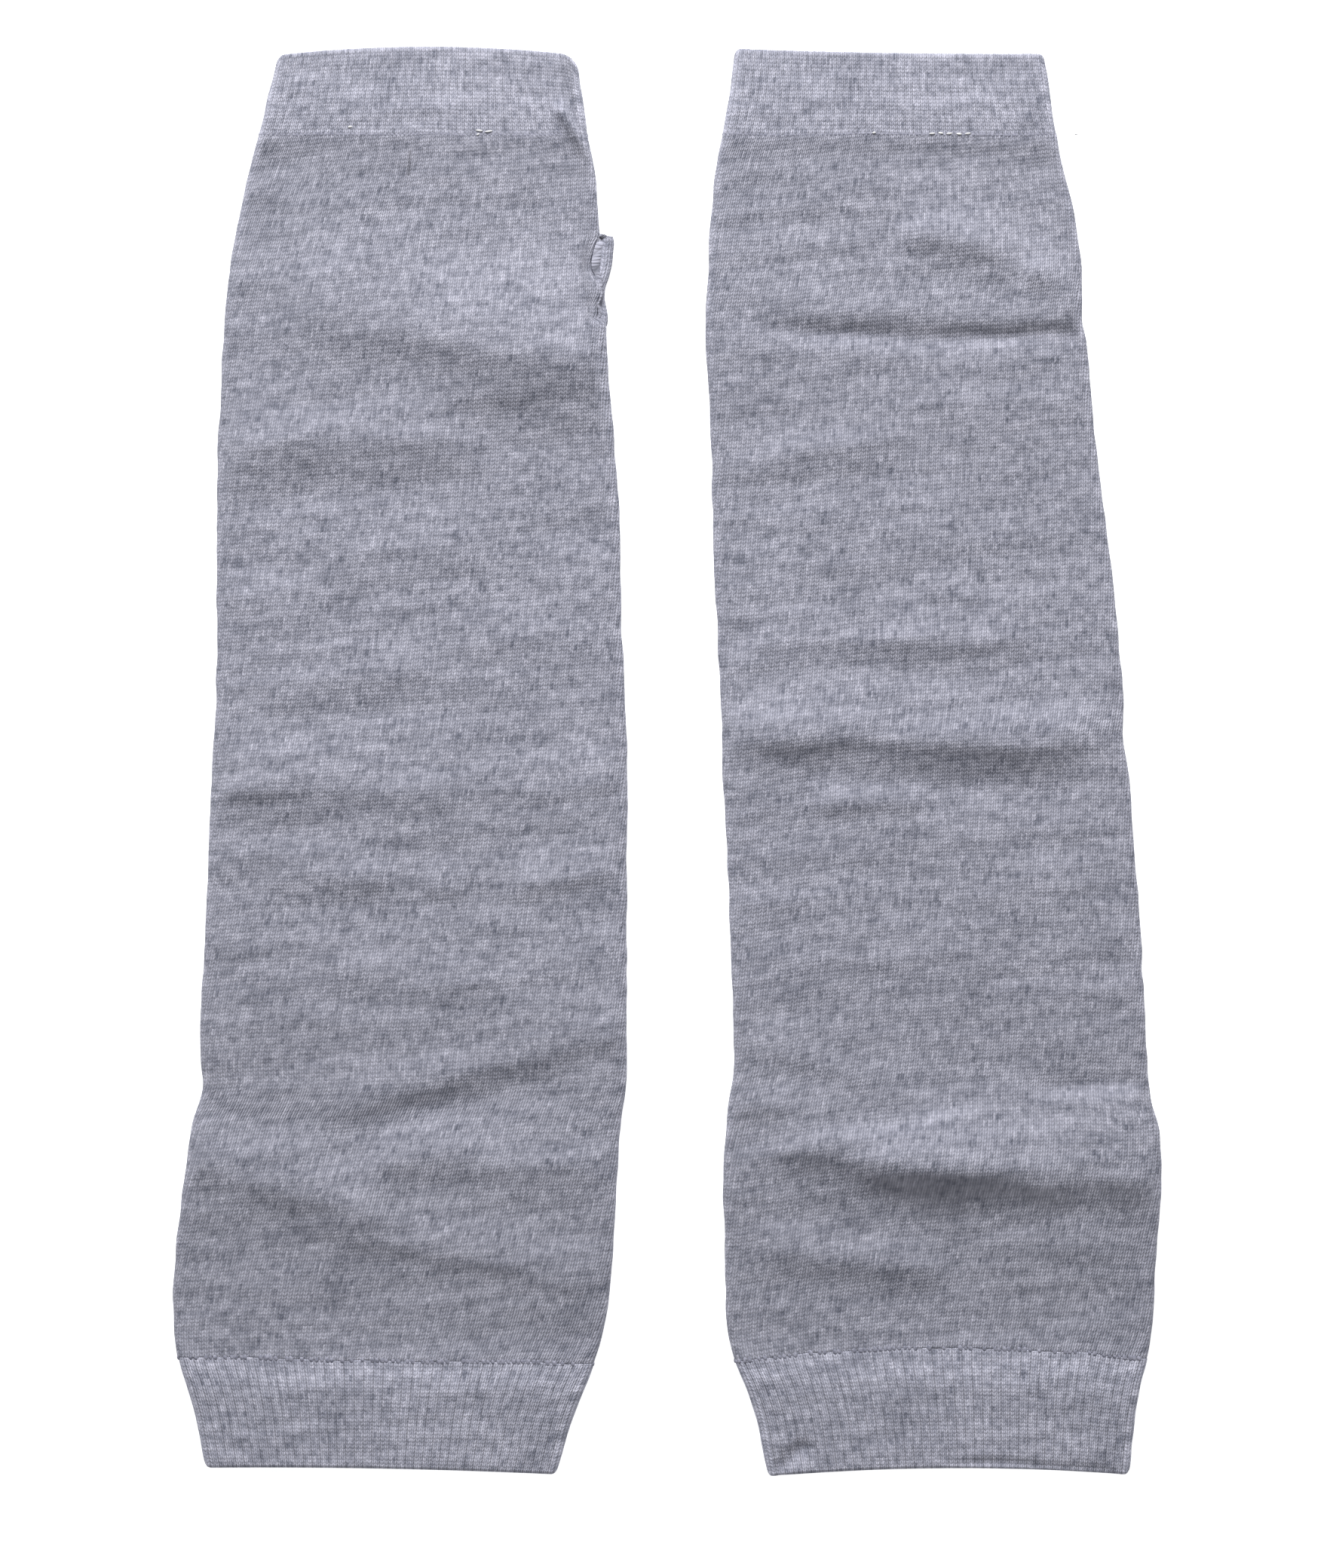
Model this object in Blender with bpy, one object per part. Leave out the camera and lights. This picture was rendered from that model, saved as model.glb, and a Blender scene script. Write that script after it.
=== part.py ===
"""Pair of knitted arm warmers, laid flat side by side with their hand ends towards +Y.

Each warmer is a seamless tube of fine jersey with a turned welt at the hand, another at the upper
arm, and a slit for the thumb that a narrow knitted band finishes. X runs across the pair, Y along
the arms and Z up from the surface that the pair lies on. The origin is on that surface, under the
middle of the pair.
"""

import math
from collections import namedtuple

import bmesh
import bpy

MM = 0.001

# Driving dimensions, in millimetres
HAND_END = 170.0        # from the middle of the pair to the hand ends, along +Y
HAND_JOIN = 20.5        # station of the join between hand welt and body
ARM_JOIN = 312.5        # station of the join between body and upper-arm welt
SEAM_GAP = 0.3          # between pieces that are joined
JERSEY_WALL = 1.2       # one ply of the body
WELT_WALL = 1.8         # two plies of a turned welt
PANEL_GAP = 0.8         # air between the upper and the lower panel
LEFT_AXIS = -60.0       # where the left warmer's own axis lies, across the pair
RIGHT_AXIS = 60.0

# How finely a section and a tube are faceted
TOP_STEPS = 14
BOTTOM_STEPS = 4
EDGE_STEPS = 4          # in the half-round of a side fold
RING_SPACING = 6.4
CLOSEST_RINGS = 2.8
FOLD_FADE = 7.0         # folds die out over this length at a join

# The thumb slits and their bands
SLIT_FROM = 44.4        # stations of the slits' ends
SLIT_TO = 66.0
SLIT_DEPTH = 3.6        # from the left warmer's side fold to its panels' ends in the slit
BAND_WALL = 1.2
HIDDEN_SLIT_WIDTH = 4.0     # the right warmer's slit, open in its lower panel
HIDDEN_SLIT_INSET = 9.0     # from the tube's side fold to that slit's middle
HIDDEN_BAND_SLOT = 0.8
CUTTER_REACH = 6.0          # how far a helper reaches past what it cuts

# station: from the hand end; centre: of the flat tube, from the warmer's axis;
# bow: how far a section's middle lies ahead of its sides, towards the hand;
# skew: how far its right side lies ahead of its middle.
Section = namedtuple("Section", "station centre flat_width bow skew")
LEFT_SECTIONS = [
    Section(1.8, 2.8, 72.2, 2.1, 0.0),
    Section(10.0, 2.3, 74.6, 0.8, 0.0),
    Section(20.5, 1.7, 78.4, 0.0, 0.0),
    Section(28.0, 1.6, 82.0, 0.0, 0.0),
    Section(42.0, 0.5, 86.2, 0.0, 0.0),
    Section(60.0, -0.1, 90.4, 0.0, 0.0),
    Section(78.0, -0.3, 92.2, 0.0, 0.0),
    Section(105.0, 0.3, 95.6, 0.0, 0.0),
    Section(150.0, 0.9, 97.0, 0.0, 0.0),
    Section(168.0, 0.9, 98.8, 0.0, 0.0),
    Section(200.0, 0.2, 100.0, 0.0, 0.0),
    Section(240.0, -0.7, 102.0, 0.0, 0.0),
    Section(247.5, -0.3, 100.8, 0.0, 0.0),
    Section(256.0, -2.2, 102.2, 0.0, 0.0),
    Section(290.0, -5.5, 104.4, 0.0, 0.0),
    Section(304.0, -6.5, 102.6, 0.0, 0.0),
    Section(312.5, -7.2, 99.2, 0.0, -0.8),
    Section(324.0, -7.7, 91.2, 0.0, -0.8),
    Section(338.7, -8.2, 84.2, 0.6, -0.8),
]
RIGHT_SECTIONS = [
    Section(0.8, -7.3, 74.0, -0.4, -0.6),
    Section(10.0, -7.3, 76.2, -0.2, -0.2),
    Section(20.5, -7.3, 79.6, 0.0, 0.0),
    Section(28.0, -7.2, 82.6, 0.0, 0.0),
    Section(42.0, -6.4, 87.2, 0.0, 0.0),
    Section(52.0, -5.9, 89.0, 0.0, 0.0),
    Section(63.5, -6.2, 89.6, 0.0, 0.0),
    Section(70.0, -5.7, 90.7, 0.0, 0.0),
    Section(89.0, -4.3, 91.4, 0.0, 0.0),
    Section(121.0, -1.9, 94.4, 0.0, 0.0),
    Section(156.0, 0.6, 96.2, 0.0, 0.0),
    Section(164.0, 0.6, 95.6, 0.0, 0.0),
    Section(172.0, 1.3, 96.6, 0.0, 0.0),
    Section(202.0, 3.2, 97.6, 0.0, 0.0),
    Section(240.0, 4.9, 98.6, 0.0, 0.0),
    Section(247.0, 4.7, 99.4, 0.0, 0.0),
    Section(257.0, 5.3, 103.0, 0.0, 0.0),
    Section(267.0, 5.4, 104.6, 0.0, 0.0),
    Section(290.0, 4.9, 102.6, 0.4, 0.0),
    Section(304.0, 4.7, 101.6, 1.8, 0.3),
    Section(312.5, 5.0, 98.2, 3.0, 0.3),
    Section(324.0, 6.0, 91.2, 2.4, 0.3),
    Section(339.8, 6.7, 86.4, 1.8, 0.2),
]

# The largest folds of the upper panel. x: across from the warmer's axis; station: of the crest's
# middle; slope: of the crest in degrees, rising to the right; flanks: the fall's reach either way.
Fold = namedtuple("Fold", "x station length slope height hand_flank arm_flank")
LEFT_FOLDS = [
    Fold(2.0, 66.0, 84.0, -12.0, 1.7, 13.0, 8.0),
    Fold(-20.0, 94.0, 56.0, 3.0, 1.3, 8.0, 6.0),
    Fold(-16.0, 176.5, 62.0, 0.0, 1.4, 10.0, 5.0),
    Fold(14.0, 246.0, 62.0, 16.0, 1.5, 10.0, 5.0),
    Fold(-18.0, 280.0, 84.0, -24.0, 2.0, 12.0, 7.0),
]
RIGHT_FOLDS = [
    Fold(5.0, 65.0, 88.0, -1.0, 1.3, 6.0, 3.5),
    Fold(0.0, 141.0, 46.0, 0.0, 1.2, 7.0, 4.5),
    Fold(3.0, 163.5, 98.0, -1.0, 2.0, 9.0, 6.0),
    Fold(9.0, 264.5, 100.0, -4.0, 3.0, 15.0, 7.0),
    Fold(-11.0, 288.5, 44.0, -15.0, 1.3, 7.0, 5.0),
]

# The left slit's band. down: share of the slit's length from its hand end;
# front, back: how far the upper and the lower lip reach past the tube's side fold.
Lip = namedtuple("Lip", "down front back")
LIPS = [
    Lip(0.0, -0.2, 3.0),
    Lip(0.1, -0.8, 3.2),
    Lip(0.2, -1.6, 2.8),
    Lip(0.32, -2.3, 2.4),
    Lip(0.4, -2.2, 1.9),
    Lip(0.48, -1.2, 1.3),
    Lip(0.57, -0.4, 0.5),
    Lip(0.68, -0.6, 0.1),
    Lip(0.79, -1.6, 0.3),
    Lip(0.86, -1.3, 0.5),
    Lip(0.94, -1.6, 0.5),
    Lip(1.0, -0.5, 0.2),
]


def at(rows, where):
    """The row of a table at any place along its first column, on a smooth curve through its rows."""
    keys = [row[0] for row in rows]
    last = len(rows) - 2
    i = min(max(sum(key <= where for key in keys) - 1, 0), last)
    before, here, after, beyond = rows[max(i - 1, 0)], rows[i], rows[i + 1], rows[min(i + 2, last + 1)]
    span = after[0] - here[0]
    t = min(max((where - here[0]) / span, 0.0), 1.0)
    values = [where]
    for a, b, c, d in zip(before[1:], here[1:], after[1:], beyond[1:]):
        leave = (c - a) / (after[0] - before[0]) * span
        arrive = (d - b) / (beyond[0] - here[0]) * span
        values.append(
            (2 * t**3 - 3 * t**2 + 1) * b + (t**3 - 2 * t**2 + t) * leave
            + (3 * t**2 - 2 * t**3) * c + (t**3 - t**2) * arrive
        )
    return type(here)(*values)


def smooth(t):
    """0 below 0, 1 above 1, and an even rise between."""
    t = min(max(t, 0.0), 1.0)
    return t * t * (3 - 2 * t)


def fold_height(folds, x, station):
    """How far the folds lift the upper panel at a place on it."""
    lift = 0.0
    for fold in folds:
        turn = math.radians(fold.slope)
        right, ahead = x - fold.x, fold.station - station
        along = right * math.cos(turn) + ahead * math.sin(turn)
        past = ahead * math.cos(turn) - right * math.sin(turn)
        flank = fold.hand_flank if past > 0 else fold.arm_flank
        ends = smooth(2 - abs(along) * 4 / fold.length)
        lift += fold.height * ends * math.exp(-((past / flank) ** 2))
    joins = min(station - HAND_JOIN, ARM_JOIN - station) / FOLD_FADE
    return lift * smooth(joins)


def ring(section, wall, folds, inner=False):
    """A section's outline, or its inner wall's, from the upper panel's left end round by the right fold."""
    middle = wall + PANEL_GAP / 2
    half_flat = section.flat_width / 2 - middle
    radius = PANEL_GAP / 2 if inner else middle
    half_round = [math.pi * i / EDGE_STEPS for i in range(1, EDGE_STEPS)]
    outline = []
    for i in range(TOP_STEPS + 1):
        x = section.centre + half_flat * (2 * i / TOP_STEPS - 1)
        inside = smooth(4 * min(i, TOP_STEPS - i) / TOP_STEPS)
        outline.append((x, middle + radius + inside * fold_height(folds, x, section.station)))
    for turn in half_round:
        x = section.centre + half_flat + radius * math.sin(turn)
        outline.append((x, middle + radius * math.cos(turn)))
    for i in range(BOTTOM_STEPS + 1):
        outline.append((section.centre + half_flat * (1 - 2 * i / BOTTOM_STEPS), middle - radius))
    for turn in half_round:
        x = section.centre - half_flat - radius * math.sin(turn)
        outline.append((x, middle - radius * math.cos(turn)))
    points = []
    for x, z in outline:
        across = (x - section.centre) * 2 / section.flat_width
        ahead = section.bow * (1 - across**2) + section.skew * across
        points.append((x, HAND_END - section.station + ahead, z))
    return points


def ring_places(start, end, folds=()):
    """Stations of a tube's rings: its ends, the folds' crests and arm-side flanks, and evenly between."""
    chosen = [start, end]
    wanted = [place for fold in folds for place in (fold.station, fold.station + fold.arm_flank)]
    steps = round((end - start) / RING_SPACING)
    wanted += [start + (end - start) * i / steps for i in range(1, steps)]
    for place in wanted:
        if all(abs(place - other) >= CLOSEST_RINGS for other in chosen):
            chosen.append(place)
    return sorted(chosen)


def material(name, colour, roughness):
    made = bpy.data.materials.new(name)
    made.use_nodes = True
    shader = made.node_tree.nodes["Principled BSDF"]
    shader.inputs["Base Color"].default_value = (*colour, 1.0)
    shader.inputs["Roughness"].default_value = roughness
    shader.inputs["Metallic"].default_value = 0.0
    return made


def add_object(name, shape, finish, parent):
    """A named object with the bmesh's shape and one material, under its warmer's empty."""
    bmesh.ops.recalc_face_normals(shape, faces=shape.faces)
    mesh = bpy.data.meshes.new(name)
    shape.to_mesh(mesh)
    shape.free()
    mesh.materials.append(finish)
    mesh.shade_smooth()
    mesh.set_sharp_from_angle(angle=math.radians(50))
    made = bpy.data.objects.new(name, mesh)
    made.parent = parent
    bpy.context.scene.collection.objects.link(made)
    return made


def shell(name, loops, finish, parent):
    """A closed shape through loops of points, each joined to the next and the last to the first."""
    shape = bmesh.new()
    rows = [[shape.verts.new([value * MM for value in point]) for point in loop] for loop in loops]
    count = len(loops[0])
    for here, after in zip(rows, rows[1:] + rows[:1]):
        for i in range(count):
            j = (i + 1) % count
            shape.faces.new((here[i], here[j], after[j], after[i]))
    return add_object(name, shape, finish, parent)


def tube(name, sections, places, wall, folds, finish, parent):
    """A laid-flat tube with open ends: along its outside from ring to ring, and back along its inside."""
    outside = [ring(at(sections, station), wall, folds) for station in places]
    inside = [ring(at(sections, station), wall, folds, inner=True) for station in reversed(places)]
    return shell(name, outside + inside, finish, parent)


def open_slit(body, corners, top):
    """Cuts a slit in a body with a helper block that stands on four corners, up to a height."""
    shape = bmesh.new()
    foot, head = ([shape.verts.new((x * MM, y * MM, z * MM)) for x, y in corners] for z in (-CUTTER_REACH, top))
    shape.faces.new(foot)
    shape.faces.new(head)
    for i in range(4):
        j = (i + 1) % 4
        shape.faces.new((foot[i], foot[j], head[j], head[i]))
    helper = material("Helper", (1.0, 0.3, 0.1), 0.5)
    cutter = add_object(f"{body.name}_slit_cutter", shape, helper, body.parent)
    cutter.hide_render = True
    cutter.display_type = "WIRE"
    slit = body.modifiers.new("Thumb slit", "BOOLEAN")
    slit.object = cutter


def right_fold(sections, station):
    """Across, where the right side fold lies by the slit, on a straight line between the slit's ends."""
    folds = []
    for end in (SLIT_FROM, SLIT_TO):
        section = at(sections, end)
        folds.append(section.centre + section.flat_width / 2)
    return folds[0] + (folds[1] - folds[0]) * (station - SLIT_FROM) / (SLIT_TO - SLIT_FROM)


def side_slit(body, sections, finish):
    """The left warmer's slit: its right side fold is open, and a band runs round the two lips."""
    height = 2 * JERSEY_WALL + PANEL_GAP
    corners = []
    for station in (SLIT_FROM, SLIT_TO):
        y = HAND_END - station
        panel_end = right_fold(sections, station) - SLIT_DEPTH
        outside = panel_end + SLIT_DEPTH + CUTTER_REACH
        corners += [(panel_end, y), (outside, y)] if not corners else [(outside, y), (panel_end, y)]
    open_slit(body, corners, height + CUTTER_REACH)
    start, end = SLIT_FROM + SEAM_GAP, SLIT_TO - SEAM_GAP
    loops = []
    for upper in (True, False):
        for lip in LIPS if upper else reversed(LIPS):
            station = start + (end - start) * lip.down
            fold = right_fold(sections, station)
            root = fold - SLIT_DEPTH + SEAM_GAP
            reach = fold + (lip.front if upper else lip.back)
            outer_y = HAND_END - station
            inner_y = HAND_END - min(max(station, start + BAND_WALL), end - BAND_WALL)
            outer_z = height if upper else 0.0
            inner_z = height - BAND_WALL if upper else BAND_WALL
            loops.append(
                [
                    (root, inner_y, inner_z),
                    (reach, inner_y, inner_z),
                    (reach, outer_y, outer_z),
                    (root, outer_y, outer_z),
                ]
            )
    return shell(body.name.replace("body", "thumb_band"), loops, finish, body.parent)


def under_slit(body, sections, finish):
    """The right warmer's slit: it lies in the lower panel by the left fold, with its band flat round it."""
    middle = (SLIT_FROM + SLIT_TO) / 2
    section = at(sections, middle)
    x, y = section.centre - section.flat_width / 2 + HIDDEN_SLIT_INSET, HAND_END - middle
    half_width, half_length = HIDDEN_SLIT_WIDTH / 2, (SLIT_TO - SLIT_FROM) / 2
    turns = ((1, 1), (-1, 1), (-1, -1), (1, -1))
    corners = [(x + across * half_width, y + along * half_length) for across, along in turns]
    open_slit(body, corners, JERSEY_WALL + PANEL_GAP / 2)
    loops = []
    for across, along in turns:
        inner = (x + across * HIDDEN_BAND_SLOT / 2, y + along * (half_length - BAND_WALL))
        outer = (x + across * (half_width - SEAM_GAP), y + along * (half_length - SEAM_GAP))
        loops.append([(*inner, BAND_WALL), (*inner, 0.0), (*outer, 0.0), (*outer, BAND_WALL)])
    return shell(body.name.replace("body", "thumb_band"), loops, finish, body.parent)


def warmer(side, axis, sections, folds, thumb_slit):
    """One warmer: its hand welt, body, upper-arm welt and thumb band, under an empty on its own axis."""
    parent = bpy.data.objects.new(f"{side}_warmer", None)
    parent.location.x = axis * MM
    bpy.context.scene.collection.objects.link(parent)
    jersey = material(f"{side} jersey", (0.300, 0.306, 0.368), 0.95)
    welt = material(f"{side} welt", (0.352, 0.355, 0.415), 0.95)
    hand_places = ring_places(sections[0].station, HAND_JOIN - SEAM_GAP / 2)
    body_places = ring_places(HAND_JOIN + SEAM_GAP / 2, ARM_JOIN - SEAM_GAP / 2, folds)
    arm_places = ring_places(ARM_JOIN + SEAM_GAP / 2, sections[-1].station)
    tube(f"{side}_hand_welt", sections, hand_places, WELT_WALL, (), welt, parent)
    tube(f"{side}_arm_welt", sections, arm_places, WELT_WALL, (), welt, parent)
    body = tube(f"{side}_body", sections, body_places, JERSEY_WALL, folds, jersey, parent)
    thumb_slit(body, sections, welt)


def main():
    for item in list(bpy.data.objects):
        bpy.data.objects.remove(item)
    warmer("left", LEFT_AXIS, LEFT_SECTIONS, LEFT_FOLDS, side_slit)
    warmer("right", RIGHT_AXIS, RIGHT_SECTIONS, RIGHT_FOLDS, under_slit)


main()
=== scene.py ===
"""Pair of knitted arm warmers, laid flat: its cloth, stitches and light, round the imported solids."""

import math
import random
from collections import namedtuple

import bmesh
import bpy
import numpy as np
from mathutils import Matrix, Vector, noise


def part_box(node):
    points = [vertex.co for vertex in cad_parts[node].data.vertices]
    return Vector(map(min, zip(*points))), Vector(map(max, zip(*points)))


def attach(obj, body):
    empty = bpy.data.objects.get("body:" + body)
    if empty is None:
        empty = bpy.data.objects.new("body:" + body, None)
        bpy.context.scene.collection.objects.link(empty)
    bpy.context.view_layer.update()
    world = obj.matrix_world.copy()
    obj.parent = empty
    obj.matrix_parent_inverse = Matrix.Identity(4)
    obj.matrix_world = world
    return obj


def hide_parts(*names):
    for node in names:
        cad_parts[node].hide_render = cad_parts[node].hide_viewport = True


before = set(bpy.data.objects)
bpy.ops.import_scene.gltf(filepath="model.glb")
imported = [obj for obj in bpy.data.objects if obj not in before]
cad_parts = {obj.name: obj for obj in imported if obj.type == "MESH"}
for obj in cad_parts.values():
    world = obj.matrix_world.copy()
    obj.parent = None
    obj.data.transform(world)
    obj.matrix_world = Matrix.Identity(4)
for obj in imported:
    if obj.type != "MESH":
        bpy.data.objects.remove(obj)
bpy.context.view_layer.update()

MM = 0.001

# The knitting
WALES = 168                 # round a tube
COURSE = 0.9                # mm from one course to the next
HELIX = 14                  # courses that the knitting climbs in one turn of the body
BODY_LEAN = -34.0           # wales that the body's knitting drifts round, over its length
TUBE_RADIUS = 31.0          # mm, of a tube when it is round

# Cloth, in mm
JERSEY_PLY = 0.9
WELT_PLY = 1.6
BODY_HEIGHT = 3.2
WELT_HEIGHT = 4.2
JOIN_HEIGHT = 3.7           # of both where they are joined
HEM_ROUND = 0.8             # radius of a hem's outer corner
HAND_ROUND = 0.22           # radius of the cloths' edges at the hand join
ARM_ROUND = 0.5             # and at the upper-arm join
CREASE_FADE = 6.0           # creases die out over this length at a join
HIDDEN_SHIFT = 11.0         # from an upper panel's crease to the like one of the lower panel, along the arm
HIDDEN_SHARE = 0.35         # and the height of that one, as a share
HIDDEN_LIMIT = 0.8          # and the most that it may be
DEEPEST = -1.2              # of all troughs of an upper panel
MERGE = 0.02                # vertices nearer than this are made one
CAD_HEIGHTS = {"hand_welt": 4.4, "body": 3.2, "arm_welt": 4.4}
JOIN_OVERLAP = 0.16         # of each cloth past a join's line

# How finely a tube is meshed
TOP_CELLS = 104
BOTTOM_CELLS = 44
ROUND_CELLS = 7
ROW_LENGTH = 1.12
WELT_ROW_LENGTH = 0.7

# Creases of an upper panel, in mm. x, y: the crest's middle; slope: of the crest in degrees, rising to
# the right; height: under 0 for a trough; ahead, behind: reach of its flanks towards hand and arm end.
Crease = namedtuple("Crease", "x y length slope height ahead behind")
CREASES = {
    "left": [
        Crease(-50.0, 100.0, 96, -12, 2.5, 17, 11),
        Crease(-36.0, 98.0, 56, -9, 1.2, 15, 14),
        Crease(-77.0, 75.8, 70, 2, 1.9, 9, 6.5),
        Crease(-77.3, -7.2, 70, 0, 1.6, 10, 4.5),
        Crease(-30.0, -6.0, 44, 2, 0.8, 7, 3.5),
        Crease(-80.0, -28.0, 34, -2, 1.0, 6, 3.5),
        Crease(-53.0, -30.4, 12, 0, 0.6, 4, 2.5),
        Crease(-24.0, -27.0, 30, 12, 0.8, 5, 3),
        Crease(-42.0, -73.0, 98, 14.7, 1.2, 8, 3.6),
        Crease(-47.0, -80.0, 64, 14.7, -0.6, 4, 7),
        Crease(-91.5, -101.2, 62, -16.5, 1.7, 10, 5),
        Crease(-49.0, -118.0, 80, -13, 1.6, 9, 5),
        Crease(-44.0, -95.6, 66, -1, 1.5, 7, 4.2),
        Crease(-80.0, 130.0, 30, 8, 0.5, 7, 4),
        Crease(-44.0, 139.0, 34, -5, 0.4, 6, 4),
        Crease(-70.0, 50.0, 60, 4, 0.5, 9, 5),
        Crease(-92.0, 36.0, 26, -6, 0.5, 6, 4),
        Crease(-76.0, 19.0, 50, 9, 0.5, 6, 4),
        Crease(-34.0, 28.0, 40, 4, 0.4, 6, 4),
        Crease(-60.0, -52.0, 48, -4, 0.5, 8, 4),
    ],
    "right": [
        Crease(65.3, 106.0, 92, -1, 0.6, 7, 3),
        Crease(66.0, 101.4, 96, -1, -1.1, 2.0, 2.4),
        Crease(75.0, 121.0, 46, -18, 1.4, 8, 4.5),
        Crease(93.0, 112.5, 22, -25, 1.0, 5, 4),
        Crease(66.0, 125.0, 30, -8, 0.6, 5, 4),
        Crease(36.5, 73.9, 50, 8.7, 0.5, 4, 3.5),
        Crease(67.0, 39.8, 18, -7, 0.5, 5, 3),
        Crease(67.0, 29.2, 44, 0, 1.2, 7, 3.5),
        Crease(34.0, 28.4, 34, -2, 0.9, 6, 3.5),
        Crease(60.0, 4.8, 108, -1, 2.4, 9, 4.5),
        Crease(63.5, -5.0, 80, -1, -0.5, 4, 6),
        Crease(48.0, -10.6, 32, -2, 1.0, 5, 3),
        Crease(40.0, -73.5, 46, -15, 0.7, 5, 3.5),
        Crease(22.0, -81.0, 16, -4, 0.7, 4, 3),
        Crease(101.0, -77.8, 36, 2, -0.9, 2.8, 1.6),
        Crease(46.0, -86.3, 64, 11, -0.6, 4, 2),
        Crease(70.0, -96.2, 112, -5, 3.7, 15, 6.5),
        Crease(70.0, -99.0, 62, -6, 1.5, 7, 4),
        Crease(84.0, -83.5, 66, 9, 1.0, 4.5, 14),
        Crease(44.0, -118.6, 52, -8, 1.4, 6, 4.5),
        Crease(88.0, -116.0, 50, -4, 0.8, 7, 5),
        Crease(48.0, 134.0, 40, 4, 0.4, 7, 4),
        Crease(80.0, 84.0, 46, -3, 0.4, 8, 5),
        Crease(36.0, 72.0, 30, 3, 0.5, 5, 3.5),
        Crease(50.0, 56.0, 54, 2, 0.45, 9, 5),
        Crease(84.0, -32.0, 44, 5, 0.5, 8, 5),
        Crease(52.0, -48.0, 60, -3, 0.45, 9, 6),
    ],
}
# Small sharp tucks: one across the left hand join, and the right arm welt's left corner and hem
TUCKS = [
    Crease(-22.4, 149.4, 19, -51, 1.6, 2.4, 0.9),
    Crease(28.5, -165.6, 15, 38, -1.0, 2.0, 2.4),
    Crease(89.0, -167.9, 52, -5, -0.6, 1.1, 0.9),
]
SHARPNESS = 1.45            # of a crest, on its arm side
STREAK_TILT = 5.0           # degrees that the cloth's fine ripples rise to the right

# The left slit's lips. down: share of the slit's length from its hand end;
# front, back: how far the upper and the lower lip reach past the tube's side fold, in mm.
LIPS = [
    (0.0, -0.2, 3.1),
    (0.05, -0.5, 3.3),
    (0.18, -1.5, 2.9),
    (0.32, -2.3, 2.4),
    (0.40, -2.2, 1.9),
    (0.48, -1.2, 1.3),
    (0.57, -0.4, 0.5),
    (0.68, -0.6, 0.1),
    (0.79, -1.7, 0.3),
    (0.86, -1.3, 0.5),
    (0.94, -1.8, 0.5),
    (1.0, -0.6, 0.2),
]
# The band's section at each lip, from its root to its free edge: mm out from the lip, and height
UPPER_BAND = [
    (-1.6, 2.0), (-1.0, 1.95), (-0.5, 1.95), (-0.1, 2.0),
    (0.12, 2.15), (0.2, 2.4), (0.1, 2.65), (-0.2, 2.8),
]
LOWER_BAND = [
    (-4.8, 1.2), (-3.4, 1.6), (-2.0, 1.7), (-0.9, 1.6),
    (-0.25, 1.35), (0.0, 0.9), (-0.15, 0.45), (-0.6, 0.2),
]
FLAT_BAND = [
    (-2.9, 0.7), (-2.4, 0.15), (-1.2, 0.05), (0.2, 0.05),
    (0.75, 0.2), (0.95, 0.6), (0.7, 1.0), (0.1, 1.1),
]
FLAT_INSET = 0.45           # from the flat band's solid to its section's zero
BAND_LENGTH = 46.0          # round a slit
BAND_WALES = 5
BAND_PLY = 0.45
LIP_PULL = 6.0              # the body's cloth is drawn towards a lip over this width
HIDDEN_SLIT = 4.4           # width that the right body's cloth leaves open under it

# Radii of a hem's left and right corner, in mm
HEM_CORNERS = {
    ("left", "hand_welt"): (2.2, 4.6),
    ("left", "arm_welt"): (1.4, 1.6),
    ("right", "hand_welt"): (1.4, 1.2),
    ("right", "arm_welt"): (1.2, 1.4),
}

# Brightness along the arm: y in mm, and share of the yarn's own. The body's dips are painted shade of its
# broad slopes and of the zone below the hand join, partly also the cloth's own uneven tone; the arm welt's
# rise by its join is a painted highlight.
HAND_TONES = [(148, 1.13), (153, 1.20), (158, 1.16), (166, 1.12), (172, 1.18)]
ARM_TONES_AND_LIGHT = [(-172, 1.14), (-163, 1.16), (-157, 1.12), (-151, 1.10), (-147, 1.21), (-142, 1.24)]
BODY_TONES_AND_SHADE = [
    (-145, 1.00), (-138, 0.93), (-118, 0.90), (-104, 0.90), (-94, 0.98),
    (-78, 0.93), (-67, 0.91), (-50, 0.98), (0, 0.98),
    (60, 0.99), (81, 0.92), (110, 0.97), (134, 0.98), (141, 0.93), (146, 0.94), (150, 1.02),
]
BAND_TONES = [(100, 1.12), (130, 1.12)]

# Yarns, each from its darkest shade to its palest
DARK_FIBRES, PALE_FIBRES = (0.146, 0.154, 0.198, 1.0), (0.482, 0.482, 0.566, 1.0)
# The linking yarn is darker than the body's yarn: painted shade of the shadowed gaps along the joins
LINKING_SHADES_AND_SHADOW = (0.15, 0.155, 0.20), (0.34, 0.34, 0.41)
UNDYED_SHADES = (0.50, 0.50, 0.53), (0.76, 0.76, 0.75)
HAND_RIB = 0.27             # how strongly every second wale stands out, in bump and in painted shade
ARM_RIB = 0.45

# A tight wale by the left hand join: x, low and high y, width and slant; and how much darker it is
TIGHT_WALE = (-61.7, 139.5, 145.5, 0.6, 0.06)
TIGHT_WALE_DARK = 0.5

# Linking stitches. size: half of each, in mm; sunk: below the cloth's face; skipped: share left out
Linking = namedtuple("Linking", "size sunk skipped")
HAND_LINKING = Linking((0.46, 0.56, 0.34), 0.24, 0.03)
ARM_LINKING = Linking((0.54, 0.74, 0.40), 0.20, 0.36)

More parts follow.
